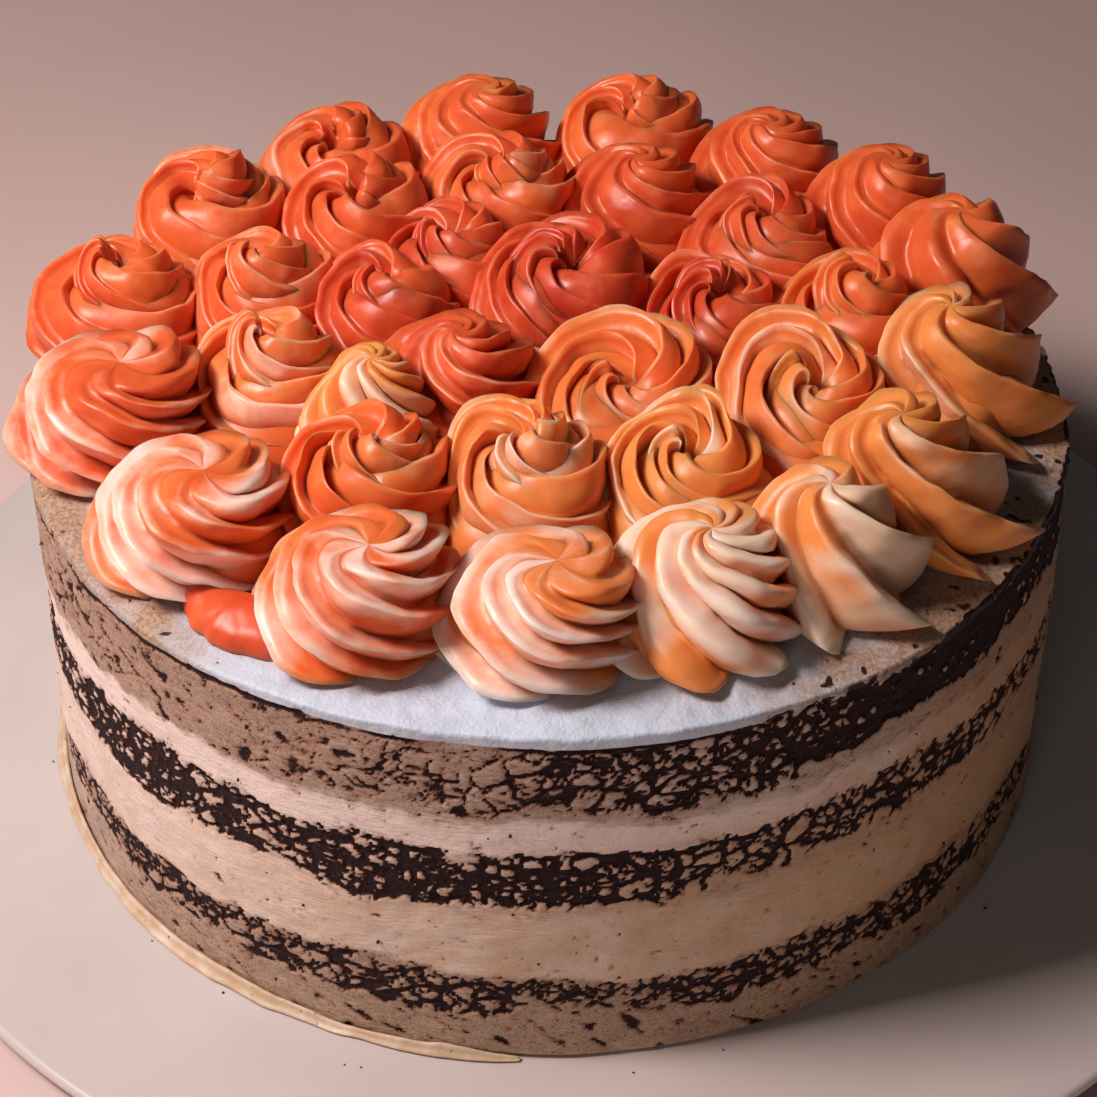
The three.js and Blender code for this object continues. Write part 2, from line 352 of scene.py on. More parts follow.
def rosette_material():
    """Buttercream with white streaks and painted sheen pale on the ridges, and painted shade deep in the
    grooves. Tone runs from red to ochre.
    """
    s = Surface("rosette_icing", Specular_IOR_Level=0.5, Subsurface_Weight=0.5, Subsurface_Scale=0.005)
    s.shader.inputs["Subsurface Radius"].default_value = (1.0, 0.42, 0.25)
    uneven = s.math("SUBTRACT", s.noise(5, 4, 0.6), 0.5)
    tone = s.math("ADD", s.attribute("tone"), s.math("MULTIPLY", uneven, 0.45))
    body = s.ramp(tone, (0.0, srgb(194, 62, 38)), (0.35, srgb(226, 108, 56)), (0.7, srgb(232, 146, 78)),
                  (1.0, srgb(226, 150, 82)))
    # The pale colour of the white streaks and of the painted sheen.
    pale = s.ramp(tone, (0.0, srgb(232, 116, 76)), (0.35, srgb(248, 204, 188)), (0.7, srgb(246, 226, 220)),
                  (1.0, srgb(242, 210, 176)))
    # The deep colour of the painted shade in the grooves.
    deep = s.ramp(tone, (0.0, srgb(162, 36, 28)), (0.35, srgb(206, 76, 38)), (0.7, srgb(208, 122, 54)),
                  (1.0, srgb(182, 104, 48)))
    # White streaks with painted sheen in them, then painted shade in the grooves.
    white_and_painted_light = s.step(s.math("ADD", s.attribute("white_and_painted_light"), s.math("MULTIPLY", uneven, 0.5)), 0.1, 0.95)
    painted_shade = s.step(s.math("ADD", s.attribute("painted_shade"), s.math("MULTIPLY", uneven, 0.4)), 0.3, 1.1)
    s.set("Base Color", s.mix(painted_shade, s.mix(white_and_painted_light, body, pale), deep))
    s.set("Roughness", s.step(uneven, -0.2, 0.2, 0.34, 0.46))
    s.set("Normal", s.bump(s.noise(1.6, 2), 0.05))
    return s.material


def foot_material():
    """Smeared cream with a few crumbs in it."""
    s = Surface("foot_icing", Specular_IOR_Level=0.4)
    tone = s.mix(s.step(s.noise(6, 3), 0.35, 0.7), srgb(196, 168, 140), srgb(214, 200, 184))
    speck = s.step(s.noise(1.1, 2), 0.68, 0.74)
    s.set("Base Color", s.mix(speck, tone, srgb(120, 84, 60)))
    s.set("Roughness", s.step(s.noise(2, 3), 0.3, 0.7, 0.35, 0.6))
    s.set("Normal", s.bump(s.noise(1.5, 4), 0.15))
    return s.material


def plate_material():
    """Pale glaze, with painted shade on the underside below the rim."""
    s = Surface("plate_glaze", Specular_IOR_Level=0.35)
    glaze = s.mix(s.step(s.noise(60, 3), 0.3, 0.7), srgb(198, 193, 194), srgb(206, 201, 202))
    # The lower half of the rim is painted dark: painted shade under the rim.
    s.set("Base Color", s.mix(s.attribute("painted_shade_under_rim"), glaze, srgb(58, 40, 34)))
    s.set("Roughness", s.step(s.noise(25, 4), 0.3, 0.7, 0.28, 0.42))
    s.set("Normal", s.bump(s.noise(30, 2), 0.05))
    return s.material


def crumb_material():
    s = Surface("loose_crumb", Specular_IOR_Level=0.3)
    s.set("Base Color", s.mix(s.step(s.noise(0.7, 3), 0.35, 0.7), srgb(40, 18, 14), srgb(86, 46, 34)))
    s.set("Roughness", s.step(s.noise(0.5, 2), 0.3, 0.7, 0.7, 0.9))
    s.set("Normal", s.bump(s.noise(0.4, 3), 0.2))
    return s.material


def floor_material():
    s = Surface("floor", Specular_IOR_Level=0.2)
    s.set("Base Color", s.mix(s.step(s.noise(180, 2), 0.3, 0.7), srgb(212, 190, 188), srgb(219, 197, 195)))
    s.set("Roughness", s.step(s.noise(40, 3), 0.3, 0.7, 0.6, 0.75))
    return s.material


# The cake's side

# The spacing of the points on the side, and how many there are in a ring
SIDE_STEP = 0.6
NOMINAL_RADIUS = 105
SIDE_COUNT = int(TAU * NOMINAL_RADIUS / SIDE_STEP)
# How deep the bare crumb lies below the cream, and how far the cake's lowest edge is drawn in
CRUMB_DEPTH = 0.55
FOOT_ROUNDING = 0.8


def round_the_cake(pairs):
    """A smooth curve round the cake through (bearing in degrees, value) pairs."""
    bearings, values = zip(*sorted(pairs))
    angles = np.radians(np.array([bearings[-1] - 360, *bearings, bearings[0] + 360], float))
    heights = np.array([values[-1], *values, values[0]], float)
    return lambda a: np.interp(np.asarray(a) % TAU, angles, heights)


# How bare the crumb is on each sponge: the share of its height where the dark band starts and
# ends, and how dense it is, at bearings round the cake (270 is the front, 0 the right).
SPONGE_BANDS = {
    "sponge_top": {
        "low": [(180, 0.1), (215, 0.05), (250, 0.0), (285, 0.12), (310, 0.3), (340, 0.42), (30, 0.2),
                (100, 0.1)],
        "high": [(180, 1.15), (230, 1.1), (262, 1.0), (285, 1.0), (310, 1.12), (340, 1.25), (30, 1.1),
                 (100, 1.1)],
        "dense": [(172, 0.8), (195, 0.5), (235, 0.32), (252, 0.42), (266, 0.75), (285, 1.05), (300, 1.7),
                  (318, 2.3), (350, 2.3), (30, 1.2), (90, 0.8), (130, 0.9)],
        "thin": [(180, 0.85), (230, 1.0), (262, 0.85), (290, 0.6), (330, 0.7), (60, 0.7)],
    },
    "sponge_middle": {
        "low": [(180, 0.0), (230, 0.0), (270, 0.08), (300, 0.15), (340, 0.35), (60, 0.1)],
        "high": [(180, 0.95), (230, 1.02), (270, 1.02), (300, 1.05), (340, 1.05), (60, 1.0)],
        "dense": [(180, 1.4), (215, 1.5), (245, 1.45), (270, 1.45), (295, 1.25), (340, 1.3), (60, 0.9),
                  (120, 1.0)],
        "thin": [(180, 0.3), (230, 0.5), (280, 0.5), (330, 0.45), (60, 0.4)],
    },
    "sponge_bottom": {
        "low": [(180, 0.45), (240, 0.42), (280, 0.45), (330, 0.5), (60, 0.4)],
        "high": [(180, 1.0), (240, 1.05), (300, 1.0), (60, 1.0)],
        "dense": [(180, 1.1), (230, 1.15), (270, 1.0), (300, 1.15), (350, 1.3), (60, 0.9), (120, 1.0)],
        "thin": [(180, 0.6), (230, 0.8), (270, 0.85), (330, 0.8), (60, 0.6)],
    },
}
LAYERS = ["sponge_bottom", "filling_lower", "sponge_middle", "filling_upper", "sponge_top", "icing_top"]


def layer_edges():
    """The heights where each layer starts and ends, with the CAD gaps between them closed."""
    edges = [lambda a: np.full(np.shape(a), CAKE_BOTTOM)]
    for lower, upper in zip(LAYERS[:-1], LAYERS[1:]):
        below, above = border(lower, True), border(upper, False)
        edges.append(lambda a, below=below, above=above: (below(a) + above(a)) / 2)
    return edges


def side_fields(angle, height, edges):
    """How bare, how thin and how proud the side is at points given by bearing and height."""
    length_round = TAU * CAKE_RADIUS
    along = (angle % TAU) * CAKE_RADIUS
    on_side = np.stack([CAKE_RADIUS * np.cos(angle), CAKE_RADIUS * np.sin(angle), height * 1.7], -1)
    warp = fractal(on_side, 5, 40)
    big = crack_distance(along + 1.8 * warp, height + 0.8 * warp, 6.6, 3.4, length_round, 5)
    small = crack_distance(along + 1.0 * warp, height - 0.6 * warp, 3.0, 1.9, length_round, 6)
    crack = np.minimum(big, 0.30 + 1.15 * small + 0.9 * smooth(warp, 0.1, 0.7))
    wander = fractal(on_side, 16, 60)
    ragged = fractal(on_side, 2.6, 70)
    bare = np.full(len(angle), -1.0)
    thin = np.zeros(len(angle))
    for i, name in enumerate(LAYERS):
        if name not in SPONGE_BANDS:
            continue
        band = {key: round_the_cake(pairs)(angle) for key, pairs in SPONGE_BANDS[name].items()}
        low_edge, high_edge = edges[i](angle), edges[i + 1](angle)
        share = (height - low_edge) / (high_edge - low_edge) + 0.07 * wander + 0.05 * ragged
        inside = smooth(share, band["low"] - 0.06, band["low"] + 0.16)
        inside = inside * (1 - smooth(share, band["high"] - 0.14, band["high"] + 0.05))
        width = band["dense"] * (1 + 0.45 * wander) * 1.35 * inside - 0.35
        width = np.minimum(width, 0.85 + 0.9 * smooth(band["dense"], 1.25, 1.9))
        bare = np.maximum(bare, width - crack + 0.25 * ragged * inside)
        within = smooth(share, -0.12, 0.08) * (1 - smooth(share, 0.96, 1.1))
        thin = np.maximum(thin, band["thin"] * within)
        if i == LAYERS.index("icing_top") - 1:
            # A dark line along the side just under the icing's edge.
            line = np.exp(-((height - high_edge + 0.8 + 0.3 * ragged) / 0.45) ** 2)
            bare = np.maximum(bare, line * (0.75 + 0.8 * wander) - 0.35)
    lean = math.radians(-32)
    across = np.stack([(along * math.cos(lean) + height * math.sin(lean)) / 2.6,
                       (height * math.cos(lean) - along * math.sin(lean)) / 1.0, angle * 0], -1)
    fleck = value_noise(across, 81) + 0.35 * ragged
    bare = np.maximum(bare, (fleck - 1.2 + 0.55 * thin) * 0.9)
    stray = value_noise(np.stack([along / 1.5, height / 1.1, angle * 0 + 5], -1), 83)
    bare = np.maximum(bare, (stray - 0.93) * 2.2)
    relief = 0.40 * wander + 0.08 * ragged - CRUMB_DEPTH * smooth(bare, -0.25, 0.35)
    relief = relief + 0.3 * smooth(bare, 0.25, 0.8) * ragged
    return bare, thin, relief


def build_layers(material):
    """The five lower layers, each a closed ring of side relief, and the borders between them."""
    edges = layer_edges()
    angle = np.arange(SIDE_COUNT) * TAU / SIDE_COUNT
    for i, name in enumerate(LAYERS[:-1]):
        low, high = edges[i](angle), edges[i + 1](angle)
        rows = int(round((high - low).mean() / SIDE_STEP)) + 1
        share = np.linspace(0, 1, rows)[:, None]
        height = low[None] + share * (high - low)[None]
        bearing = np.tile(angle, (rows, 1))
        fields = side_fields(bearing.ravel(), height.ravel(), edges)
        bare, thin, relief = (field.reshape(rows, -1) for field in fields)
        radius = CAKE_RADIUS + relief
        if i == 0:
            radius[0] -= FOOT_ROUNDING
        points = place_by_cake(radius, bearing, height)
        # How white the cream is: whiter on the side facing the key light, which is painted light, and whiter
        # still in the upper filling at the left and front, partly whiter cream and partly painted light.
        white_and_painted_light = 0.35 + 0.45 * np.cos(bearing - math.radians(205))
        upper = smooth(height, CAKE_BOTTOM + 46, CAKE_BOTTOM + 60)
        white_and_painted_light = white_and_painted_light + 0.9 * upper * np.clip(np.cos(bearing - math.radians(238)), 0, 1) - 0.1
        attributes = {"bare": with_ends(bare), "thin": with_ends(thin), "painted_light_whiteness": with_ends(white_and_painted_light)}
        crease = [*range(SIDE_COUNT), *range((rows - 1) * SIDE_COUNT, rows * SIDE_COUNT)]
        make_mesh(name + "_detail", with_ends(points), ring_faces(rows, SIDE_COUNT), attributes,
                  material, [name], crease)
    return edges


# How thick the white icing is at bearings round the cake, from scraped bare at 0 to 1 at the front
ICING_THICKNESS = [(180, 0.1), (225, 0.25), (243, 0.9), (262, 1.0), (280, 0.9), (296, 0.3), (312, 0.05),
                   (335, 0.0), (30, 0.2), (90, 0.5), (140, 0.3)]
# How far in from the side the rings of the top lie: close together over the shoulder, then wider
ICING_INSETS = (0.3, 0.7, 1.2, 1.8, 2.4, 3.0, 3.7, 4.5, 5.4, 6.4, 7.5, 8.7, 10, 11.5, 13, 15, 17.5, 20, 24,
                30, 40, 60)


def build_top_icing(edges, material):
    """The icing on top: white and thick at the front, scraped thin over a rounded shoulder elsewhere."""
    angle = np.arange(SIDE_COUNT) * TAU / SIDE_COUNT
    round_points = np.stack([CAKE_RADIUS * np.cos(angle), CAKE_RADIUS * np.sin(angle), angle * 0], -1)
    low = edges[-1](angle)
    thick = round_the_cake(ICING_THICKNESS)(angle)
    crest = CAKE_TOP - 1.9 + 0.8 * thick + 0.5 * fractal(round_points, 9, 80)
    crest = np.clip(crest, low + 0.3, CAKE_TOP - 0.25)
    rows = []
    for share in np.linspace(0, 1, 5):
        rows.append((0, low + share * (crest - low)))
    for inset in ICING_INSETS:
        rows.append((inset, crest + (CAKE_TOP - 0.2 - crest) * smooth(inset, -6, 7)))
    inset = np.array([np.full(SIDE_COUNT, i, float) for i, z in rows])
    height = np.array([z for i, z in rows])
    bearing = np.tile(angle, (len(rows), 1))
    shape = inset.shape
    level = CAKE_RADIUS - inset
    spots = np.stack([level * np.cos(bearing), level * np.sin(bearing), height], -1).reshape(-1, 3)
    spread = fractal(spots, 12, 90).reshape(shape)
    pits = fractal(spots, 2.4, 95).reshape(shape)
    bare, _, relief = (f.reshape(shape) for f in side_fields(bearing.ravel(), height.ravel(), edges))
    wall = 1 - smooth(inset, 0.0, 1.6)
    radius = CAKE_RADIUS - inset + relief * wall
    height = height + (0.30 * spread + 0.16 * pits) * smooth(inset, 0.3, 4)
    height = np.minimum(height, CAKE_TOP)
    points = place_by_cake(radius, bearing, height)
    thin_here = 1 - np.tile(thick, (len(rows), 1))
    flecks = value_noise(spots * [0.62, 0.62, 0.5], 97).reshape(shape)
    top_bare = 0.9 * (flecks + 0.3 * pits - 1.15 + 0.55 * thin_here * (1 - smooth(inset, 5, 16)))
    dark_wall = np.where(thin_here > 0.45, bare, bare - 1.2 * smooth(height - low, -0.4, 1.2))
    thin = thin_here * (1 - 0.6 * smooth(inset, 4, 14)) + 0.25 * spread * thin_here
    make_mesh("icing_top_detail", with_ends(points), ring_faces(len(rows), SIDE_COUNT),
              {"bare": with_ends(dark_wall * wall + top_bare * (1 - wall)), "thin": with_ends(thin)},
              material, ["icing_top"], range(SIDE_COUNT))


# Rosettes

RIDGE_SAMPLES = np.array([0.0, 0.04, 0.10, 0.20, 0.34, 0.50, 0.68, 0.86])


def ridge_profile(kind, share):
    """Height across a ridge: "lip" has a sharp edge by the groove, "round" swells, "flat" is a facet."""
    if kind == "lip":
        x = np.clip((share - 0.10) / 0.90, 0, 1)
        face = 1 - 0.62 * x ** 0.8 - 0.38 * x ** 3
        return np.where(share < 0.10, np.sqrt(np.clip(share, 0, 1) / 0.10), face)
    if kind == "round":
        swell = np.where(share < 0.4, share / 0.8, 0.5 + (share - 0.4) / 1.2)
        return np.sin(math.pi * np.clip(swell, 0, 1)) ** 0.6
    return np.where(share < 0.20, share / 0.20, 1 - 0.9 * (share - 0.20) / 0.80)


def ridge_lanes(rng, ridges, uneven):
    """Uneven ridges side by side: each sample's ridge, its share of it, and where it lies from 0 to 1."""
    widths = np.cumsum(np.concatenate([[0], 1 + uneven * rng.uniform(-1, 1, ridges)]))
    widths /= widths[-1]
    share = np.tile(RIDGE_SAMPLES, ridges)
    ridge = np.repeat(np.arange(ridges), len(RIDGE_SAMPLES))
    return ridge, share, widths[ridge] + share * (widths[ridge + 1] - widths[ridge])


def rope(rng, start, ridges=7, turns=1.9, ring=0.9, thick=0.43, thin=0.5, twist=0.1, depth=0.42, high=0.70,
         inner=0.15, tail=0.12, lean=0.1, back=0.0, profile="lip"):
    """A fluted rope laid in a ring, then clockwise inwards and up, in units of the rosette's radius."""
    steps = 150
    u = np.linspace(0, 1, steps)
    wound = turns * u
    theta = math.radians(start) - TAU * wound
    path = (1 - thick) * np.interp(wound, [0, ring * 0.6, ring, turns], [1.0, 0.97, 0.84, inner])
    size = thick * np.interp(wound, [0, ring, turns], [1.0, 0.92, thin]) * (1 + back * np.sin(theta))
    size = size * (0.1 + 0.9 * np.sqrt(smooth(u, 0, tail))) * (1 - 0.97 * smooth(u, 0.93, 1.0) ** 1.5)
    settled = thick * 0.62
    height = settled + (high - settled) * smooth(wound, ring * 0.7, turns) - 0.15 * (1 - smooth(u, 0, tail))
    kernel = np.ones(9) / 9
    path, height = (np.convolve(np.pad(line, 4, mode="edge"), kernel, "valid") for line in (path, height))
    centre = np.stack([path * np.cos(theta), path * np.sin(theta), height], -1)
    forward = np.gradient(centre, axis=0)
    forward /= np.linalg.norm(forward, axis=1)[:, None] + 1e-9
    out = np.stack([np.cos(theta), np.sin(theta), np.zeros_like(theta)], -1)
    out -= (out * forward).sum(1)[:, None] * forward
    out /= np.linalg.norm(out, axis=1)[:, None]
    up = np.cross(forward, out)
    up *= np.where(up[:, 2] < 0, -1.0, 1.0)[:, None]
    ridge, share, around = ridge_lanes(rng, ridges, 0.4)
    crest = ridge_profile(profile, share)
    lifted = crest * (1 + 0.15 * rng.standard_normal(ridges))[ridge]
    swell = 1 + 0.05 * np.sin(TAU * (3.3 * u + rng.random()))[:, None]
    radius = size[:, None] * (1 - depth + depth * lifted[None]) * swell
    turn = -TAU * (around[None] + twist * u[:, None])
    points = centre[:, None] + (np.cos(turn) * radius)[..., None] * out[:, None]
    points = points + (np.sin(turn) * radius)[..., None] * up[:, None]
    points[..., 2] *= 1 + lean * points[..., 1]
    return points, np.tile(crest, (steps, 1)), np.tile(u[:, None], (1, len(share))), ridge + share


def swirl(rng, start, ridges=8, twist=0.5, depth=0.42, tips=0.14, belly=1.0, power=1.15, shift=0.0,
          toward=90, profile="round"):
    """A star of blades wound up to a peak that leans toward a bearing, in units of the rosette's radius."""
    steps = 96
    t = np.linspace(0, 1, steps) ** 0.9
    foot = 0.10
    arc = np.clip((t - foot) / (1 - foot), 0, 1) * math.pi / 2
    base = np.where(t < foot, 0.84 + 0.16 * np.sin(t / foot * math.pi / 2), np.cos(arc) ** (0.85 * belly))
    height = np.where(t < foot, 0.02 + 0.10 * t / foot, 0.12 + 0.88 * np.sin(arc))
    ridge, share, around = ridge_lanes(rng, ridges, 0.25)
    crest = ridge_profile(profile, share)
    uneven = (1 + 0.18 * rng.standard_normal(ridges))[ridge]
    deep = depth * (0.75 + 0.25 * smooth(t, 0, 0.3)) * (1 - 0.35 * smooth(t, 0.75, 1.0))
    radius = base[:, None] * (1 - deep[:, None] * (1 - crest)[None] * uneven[None])
    radius = radius + tips * (crest ** 3)[None] * (1 - smooth(t, 0.02, 0.28))[:, None]
    radius = np.maximum(radius, 0.015)
    turn = -TAU * around[None] + math.radians(start) - twist * TAU * (t ** power)[:, None]
    z = height[:, None] + 0.10 * (crest[None] - 0.6) * np.sin(math.pi * t)[:, None]
    side = shift * smooth(height, 0.1, 0.9)[:, None]
    x = radius * np.cos(turn) + side * math.cos(math.radians(toward))
    y = radius * np.sin(turn) + side * math.sin(math.radians(toward))
    points = np.stack([x, y, z], -1)
    return points, np.tile(crest, (steps, 1)), np.tile(t[:, None], (1, len(share))), ridge + share


STYLES = {
    "rose": (rope, dict(ridges=8, turns=1.9, twist=-1.2, thick=0.44, thin=0.55)),
    "open": (rope, dict(ridges=9, turns=1.75, twist=-1.3, thick=0.46, thin=0.6, high=0.62, lean=0.2)),
    "petals": (rope, dict(ridges=8, turns=1.75, twist=-1.5, thick=0.46, high=0.62, depth=0.42)),
    "arch": (rope, dict(ridges=9, turns=1.5, ring=0.8, twist=-0.8, thick=0.46, thin=0.7, inner=0.2, high=0.42,
                        lean=0.35, back=0.12)),
    "pinwheel": (swirl, dict(ridges=7, twist=0.62, depth=0.36, profile="lip", tips=0.06, belly=0.5, power=0.8,
                             shift=0.16, toward=315)),
    "whorl": (rope, dict(ridges=7, turns=1.6, twist=-1.2, thick=0.5, high=0.66)),
    "blades": (swirl, dict(ridges=9, twist=0.52, depth=0.36, tips=0.12, shift=0.24, toward=50)),
    "facets": (swirl, dict(ridges=6, twist=0.34, profile="flat", depth=0.36, tips=0.22, shift=0.12,
                           toward=110)),
    "tips": (swirl, dict(ridges=7, twist=0.42, profile="lip", depth=0.42, tips=0.22, shift=0.3, toward=135)),
    "peak": (swirl, dict(ridges=7, twist=0.6, depth=0.42, profile="lip", tips=0.15, belly=1.2, power=1.5)),
}

# Each rosette: bearing in degrees and distance from the cake's middle, radius, style,
# the bearing where its rope or first blade starts, how pale it is, and its tone
ROSETTES = {
    "rosette_outer_01": (167, 91, 18.5, "rose", 60, 0.15, 0.28),
    "rosette_outer_02": (191, 87, 19.3, "pinwheel", 80, 0.45, 0.34),
    "rosette_outer_03": (217.5, 83, 19.0, "pinwheel", -112, 0.56, 0.44),
    "rosette_outer_04": (245, 81, 18.5, "pinwheel", -88, 0.64, 0.46),
    "rosette_outer_05": (269.5, 77, 18.3, "pinwheel", 100, 0.58, 0.62),
    "rosette_outer_06": (289, 79.5, 17.0, "blades", -60, 0.92, 0.80),
    "rosette_outer_07": (309, 82, 17.0, "facets", -20, 0.85, 0.84),
    "rosette_outer_08": (328, 81.5, 19.0, "tips", 0, 0.40, 0.82),
    "rosette_outer_09": (355.5, 83, 17.5, "tips", 10, 0.35, 0.76),
    "rosette_outer_10": (19.5, 91, 18.5, "facets", 20, 0.12, 0.38),
    "rosette_outer_11": (37, 90, 18.5, "peak", 50, 0.12, 0.30),
    "rosette_outer_12": (57, 89, 18.0, "peak", 80, 0.12, 0.28),
    "rosette_outer_13": (78, 89, 18.0, "whorl", 100, 0.15, 0.36),
    "rosette_outer_14": (100, 89, 18.0, "peak", 130, 0.2, 0.36),
    "rosette_outer_15": (122, 89, 18.0, "whorl", 160, 0.2, 0.3),
    "rosette_outer_16": (145, 89, 18.5, "rose", 200, 0.2, 0.32),
    "rosette_middle_01": (187, 56, 18.5, "rose", 70, 0.40, 0.46),
    "rosette_middle_02": (231, 54, 19.0, "petals", 80, 0.25, 0.44),
    "rosette_middle_03": (263, 41, 18.5, "open", 100, 0.35, 0.62),
    "rosette_middle_04": (303, 48, 18.0, "arch", -60, 0.7, 0.78),
    "rosette_middle_05": (341, 54, 20.0, "arch", -60, 0.25, 0.60),
    "rosette_middle_06": (13, 65, 19.0, "rose", 70, 0.12, 0.36),
    "rosette_middle_07": (42, 61, 19.0, "open", 20, 0.15, 0.22),
    "rosette_middle_08": (72, 60, 19.0, "peak", 60, 0.15, 0.22),
    "rosette_middle_09": (100, 59, 19.0, "petals", 90, 0.25, 0.3),
    "rosette_middle_10": (130, 63, 19.0, "whorl", 120, 0.2, 0.24),
    "rosette_middle_11": (160, 63, 18.0, "rose", 110, 0.20, 0.32),
    "rosette_inner_01": (315, 22, 22.0, "arch", -60, 0.25, 0.46),
    "rosette_inner_02": (207, 20, 19.0, "peak", -60, 0.2, 0.2),
    "rosette_inner_03": (80, 21, 21.0, "petals", -60, 0.15, 0.12),
    "rosette_inner_04": (22, 37, 19.0, "open", -40, 0.1, 0.16),
    "rosette_inner_05": (122, 40, 18.0, "petals", 30, 0.15, 0.12),
    "rosette_inner_06": (153, 37, 18.0, "whorl", 10, 0.2, 0.16),
    "rosette_inner_07": (213, 43, 15.0, "blades", -40, 0.55, 0.85),
}


# How far a rosette may spread past its CAD cell, and how far all of them run into each other
LARGEST_SPILL = 3.2
OVERLAP = 1.6
# Rosettes farther back than this behind the cake's middle have shallower grooves
BACK_FROM = 15
BACK_DEPTH = 0.28
# A pinwheel stays this much lower than its CAD solid
PINWHEEL_HEIGHT = 0.88
# The hand's unevenness: its size, and how far it moves a point along each axis
WOBBLE_SIZE = 10
WOBBLE_DEPTH = (0.9, 0.9, 0.6)
BED_HEIGHT = 11.0


def cell_reach(name, x, y):
    """How far the CAD rosette spreads from (x, y) in 360 directions: the reach of its outline."""
    points = node_points(name)
    low = points[points[:, 2] < points[:, 2].min() + 5][:, :2] - [x, y]
    directions = np.radians(np.arange(360))
    bearing = np.degrees(np.arctan2(low[:, 1], low[:, 0])) % 360
    order = np.argsort(bearing)
    bearing, distance = bearing[order], np.hypot(low[:, 0], low[:, 1])[order]
    keep = []
    for k in range(len(bearing)):
        near = np.abs((bearing - bearing[k] + 180) % 360 - 180) < 13
        if distance[k] >= distance[near].max() * 0.93:
            keep.append(k)
    bearing, distance = bearing[keep], distance[keep]
    reach = np.interp(np.degrees(directions), bearing, distance, period=360)
    kernel = np.exp(-0.5 * (np.arange(-40, 41) / 11.0) ** 2)
    kernel /= kernel.sum()
    padded = np.concatenate([reach[-40:], reach, reach[:40]])
    return np.convolve(padded, kernel, "valid")


def place_of(name):
    """A rosette's middle."""
    bearing, distance = ROSETTES[name][:2]
    return tuple(place_by_cake(distance, math.radians(bearing), 0.0)[:2])


def visible_reach(name, x, y, radius):
    """The spread of the piped rosette: between its own round shape and the room it has."""
    room = cell_reach(name, x, y)
    return np.minimum(0.5 * room + 0.5 * radius, room + LARGEST_SPILL) + OVERLAP


def build_rosettes(material):
    """Each rosette in its own room: its style's shape, spread to the room and tinted ridge by ridge, with
    painted sheen toward the front and on the crests and painted shade in the grooves.
    """
    for i, (name, (_, _, radius, style, start, pale, tone)) in enumerate(ROSETTES.items()):
        rng = np.random.default_rng(500 + i)
        x, y = place_of(name)
        top = node_points(name)[:, 2].max() - ROSETTE_BASE
        build, options = STYLES[style]
        if y > CAKE_Y + BACK_FROM:
            options = dict(options, depth=BACK_DEPTH)
        points, crest, along, lane = build(rng, start, **options)
        reach = visible_reach(name, x, y, radius)
        bearing_of = np.degrees(np.arctan2(points[..., 1], points[..., 0])) % 360
        scale = np.interp(bearing_of, np.arange(361), np.append(reach, reach[0]))
        shape = bearing_of.shape
        local = np.stack([points[..., 0] * scale, points[..., 1] * scale,
                          np.maximum(points[..., 2], 0.02) / points[..., 2].max() * top], -1)
        for axis in range(3):
            wobble = fractal(local.reshape(-1, 3) + 40 * i, WOBBLE_SIZE, 200 + 5 * i + axis, 3).reshape(shape)
            local[..., axis] += WOBBLE_DEPTH[axis] * wobble * smooth(local[..., 2], 0, 4)
        if style == "pinwheel":
            local[..., 2] *= PINWHEEL_HEIGHT
        local[..., 2] = np.clip(local[..., 2], 0.0, top)
        ridges = options["ridges"]
        lane = np.tile(lane, (shape[0], 1))
        ridge_pale = rng.uniform(0, 1, ridges)
        ridge_pale = np.append(ridge_pale, ridge_pale[0])
        lane_pale = np.interp((lane - 0.5) % ridges, np.arange(ridges + 1), ridge_pale)
        streaks = np.stack([lane.ravel() * 0.7, along.ravel() * 5, np.full(lane.size, 9.0 * i)], -1)
        drift = fractal(streaks, 1, 300 + i, 2).reshape(shape)
        # Paler toward the front, where the light falls: painted light.
        front = smooth(-points[..., 1], -0.7, 0.7) - 0.5
        patches = np.clip(-0.4 + 1.7 * lane_pale + 0.8 * drift + 0.7 * front, 0, 1.5)
        # White streaks ridge by ridge, paler on the crests as a painted sheen, with a painted highlight on
        # the sharpest crests.
        white_and_painted_light = pale * patches * (0.65 + 0.35 * crest)
        white_and_painted_light = white_and_painted_light + 0.15 * smooth(crest, 0.85, 1.0)
        # Painted shade in the grooves, deeper on the front rosettes.
        painted_shade = (1 - smooth(crest, 0.0, 0.6)) * (0.85 if y < CAKE_Y else 0.6) + 0.12 * drift
        attributes = {"white_and_painted_light": with_ends(white_and_painted_light), "painted_shade": with_ends(painted_shade),
                      "tone": with_ends(tone + 0.12 * drift)}
        make_mesh(name + "_piped", with_ends(local + [x, y, ROSETTE_BASE]), ring_faces(*shape), attributes,
                  material, [name])


